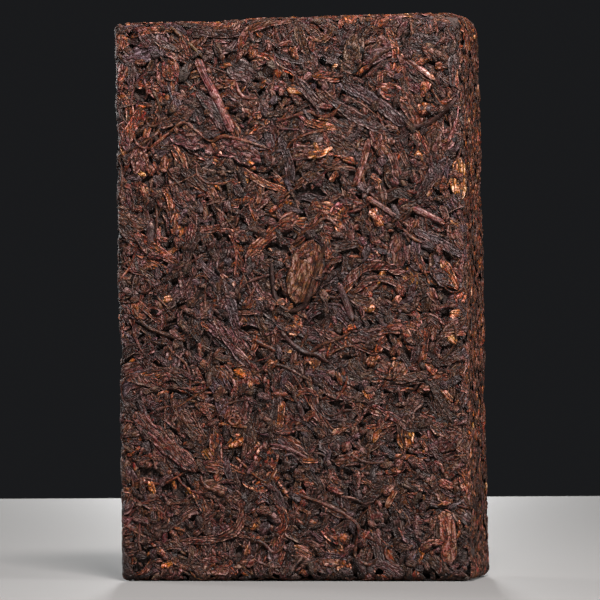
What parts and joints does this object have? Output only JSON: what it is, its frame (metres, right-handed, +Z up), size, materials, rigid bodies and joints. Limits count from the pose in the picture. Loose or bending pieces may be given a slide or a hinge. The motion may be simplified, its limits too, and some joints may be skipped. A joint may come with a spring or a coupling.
{
  "type": "pu erh tea brick",
  "caption": "Rectangular brick of pressed dark tea leaves and stems with tight edges, stored standing on its flat short end.",
  "frame": {"origin": "middle of the flat base, the short end that the brick stands on", "axes": "+Z up along the brick's length, +X along its width to the right of the front face, +Y through its thickness from the front face to the back"},
  "size_m": [0.0898, 0.0238, 0.1399],
  "materials": {
    "pressed_tea": "pressed dried tea leaf, near-black brown with a faint waxy sheen on the ridges"
  },
  "bodies": {
    "root": {"tea_brick": "pressed_tea"}
  },
  "joints": []
}
